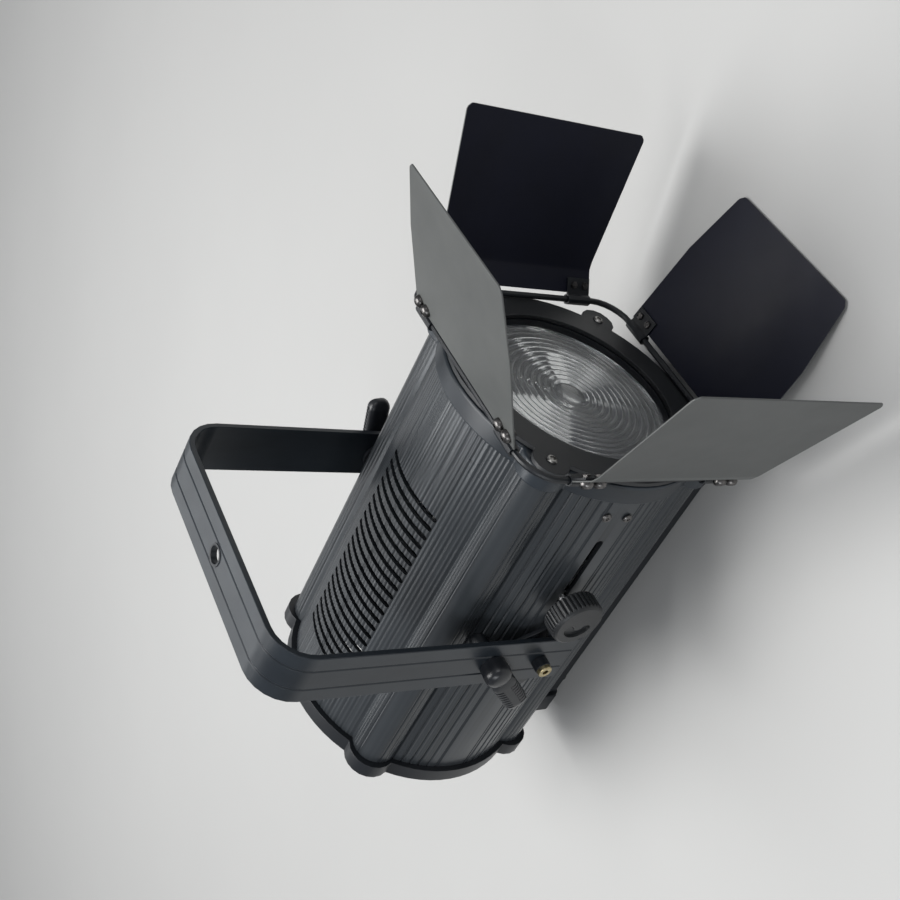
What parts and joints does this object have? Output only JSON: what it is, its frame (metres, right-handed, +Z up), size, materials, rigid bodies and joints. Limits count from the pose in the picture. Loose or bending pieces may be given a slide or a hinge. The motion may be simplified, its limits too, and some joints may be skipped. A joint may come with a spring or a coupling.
{
  "type": "fresnel spotlight",
  "caption": "Zoomable LED fresnel spotlight with a ribbed body, tilting yoke, clamp levers and folding barn-door leaves.",
  "frame": {"origin": "centre of the bounding box in X and Y, on the plane the rubber feet rest on", "axes": "+Z up, the light shines toward -Y, +X to the right seen from the front; the zoom knob is on -X"},
  "size_m": [0.3042, 0.4877, 0.355],
  "materials": {
    "anodised": "black anodised",
    "dark_paint": "satin charcoal",
    "black_paint": "satin black",
    "leaf_paint": "matte dark grey",
    "rubber": "matte",
    "plastic": "fine matte",
    "steel": "bright zinc",
    "brass": "yellow passivated",
    "aluminium": "bare satin",
    "glass": "clear",
    "phosphor": "yellow coating"
  },
  "bodies": {
    "fixture": {"barndoor_frame": "black_paint", "base_channel": "anodised", "base_end": "plastic", "display_window": "glass", "dmx_in": "plastic", "dmx_out": "plastic", "driver_unit": "aluminium", "foot_1": "rubber", "foot_2": "rubber", "foot_3": "rubber", "foot_4": "rubber", "fresnel_lens": "glass", "front_bezel": "anodised", "front_plate": "anodised", "guide_rod_left": "steel", "guide_rod_right": "steel", "housing_shell": "anodised", "lens_holder": "anodised", "lens_retainer": "aluminium", "pivot_stud_left": "black_paint", "pivot_stud_right": "black_paint", "plate_screw_1": "steel", "plate_screw_2": "steel", "plate_screw_3": "steel", "plate_screw_4": "steel", "power_inlet": "plastic", "rear_cap": "anodised", "rear_panel": "anodised", "sector_plate_left": "black_paint", "sector_plate_right": "black_paint", "side_screw_1": "black_paint", "side_screw_2": "black_paint"},
    "yoke": {"yoke": "dark_paint", "lock_bolt_left": "brass", "lock_bolt_right": "brass"},
    "tilt_lever_left": {"tilt_lever_left": "plastic"},
    "tilt_lever_right": {"tilt_lever_right": "plastic"},
    "zoom_carriage": {"zoom_carriage": "aluminium", "led_emitter": "phosphor", "led_heatsink": "aluminium", "fan_frame": "plastic"},
    "zoom_knob": {"zoom_knob": "plastic"},
    "fan_rotor": {"fan_rotor": "plastic"},
    "leaf_top": {"leaf_top": "leaf_paint", "clip_top_a": "black_paint", "clip_top_b": "black_paint"},
    "leaf_bottom": {"leaf_bottom": "leaf_paint", "clip_bottom_a": "black_paint", "clip_bottom_b": "black_paint"},
    "leaf_left": {"leaf_left": "leaf_paint", "clip_left_a": "black_paint", "clip_left_b": "black_paint"},
    "leaf_right": {"leaf_right": "leaf_paint", "clip_right_a": "black_paint", "clip_right_b": "black_paint"},
    "menu_button_1": {"menu_button_1": "plastic"},
    "menu_button_2": {"menu_button_2": "plastic"},
    "menu_button_3": {"menu_button_3": "plastic"},
    "menu_button_4": {"menu_button_4": "plastic"}
  },
  "joints": [
    {"name": "yoke_tilt", "type": "hinge", "parent": "fixture", "child": "yoke", "pos_m": [0.00537, 0.0654, 0.172], "axis": [1, 0, 0], "range_deg": [-14, 29]},
    {"name": "tilt_lever_left_turn", "type": "hinge", "parent": "yoke", "child": "tilt_lever_left", "pos_m": [-0.10723, 0.0654, 0.172], "axis": [1, 0, 0], "range_deg": [-15, 120]},
    {"name": "tilt_lever_right_turn", "type": "hinge", "parent": "yoke", "child": "tilt_lever_right", "pos_m": [0.11797, 0.0654, 0.172], "axis": [1, 0, 0], "range_deg": [-62, 73]},
    {"name": "zoom_slide", "type": "slide", "parent": "fixture", "child": "zoom_carriage", "axis": [0, 1, 0], "range_m": [-0.055, 0]},
    {"name": "zoom_knob_turn", "type": "hinge", "parent": "zoom_carriage", "child": "zoom_knob", "pos_m": [-0.10523, 0.0099, 0.131], "axis": [-1, 0, 0], "range_deg": [-180, 180]},
    {"name": "fan_spin", "type": "hinge", "parent": "zoom_carriage", "child": "fan_rotor", "pos_m": [0.00537, 0.0675, 0.125], "axis": [0, 1, 0], "continuous": true},
    {"name": "leaf_top_swing", "type": "hinge", "parent": "fixture", "child": "leaf_top", "pos_m": [0.00537, -0.1116, 0.2253], "axis": [-1, 0, 0], "range_deg": [-69, 66]},
    {"name": "leaf_bottom_swing", "type": "hinge", "parent": "fixture", "child": "leaf_bottom", "pos_m": [0.00537, -0.1116, 0.0247], "axis": [1, 0, 0], "range_deg": [-49, 85]},
    {"name": "leaf_right_swing", "type": "hinge", "parent": "fixture", "child": "leaf_right", "pos_m": [0.10567, -0.1116, 0.125], "axis": [0, 0, 1], "range_deg": [-26, 55]},
    {"name": "leaf_left_swing", "type": "hinge", "parent": "fixture", "child": "leaf_left", "pos_m": [-0.09493, -0.1116, 0.125], "axis": [0, 0, -1], "range_deg": [-31, 50]},
    {"name": "menu_button_1_press", "type": "slide", "parent": "fixture", "child": "menu_button_1", "axis": [0, -1, 0], "range_m": [0, 0.001], "stiffness_N_per_m": 300},
    {"name": "menu_button_2_press", "type": "slide", "parent": "fixture", "child": "menu_button_2", "axis": [0, -1, 0], "range_m": [0, 0.001], "stiffness_N_per_m": 300},
    {"name": "menu_button_3_press", "type": "slide", "parent": "fixture", "child": "menu_button_3", "axis": [0, -1, 0], "range_m": [0, 0.001], "stiffness_N_per_m": 300},
    {"name": "menu_button_4_press", "type": "slide", "parent": "fixture", "child": "menu_button_4", "axis": [0, -1, 0], "range_m": [0, 0.001], "stiffness_N_per_m": 300}
  ]
}
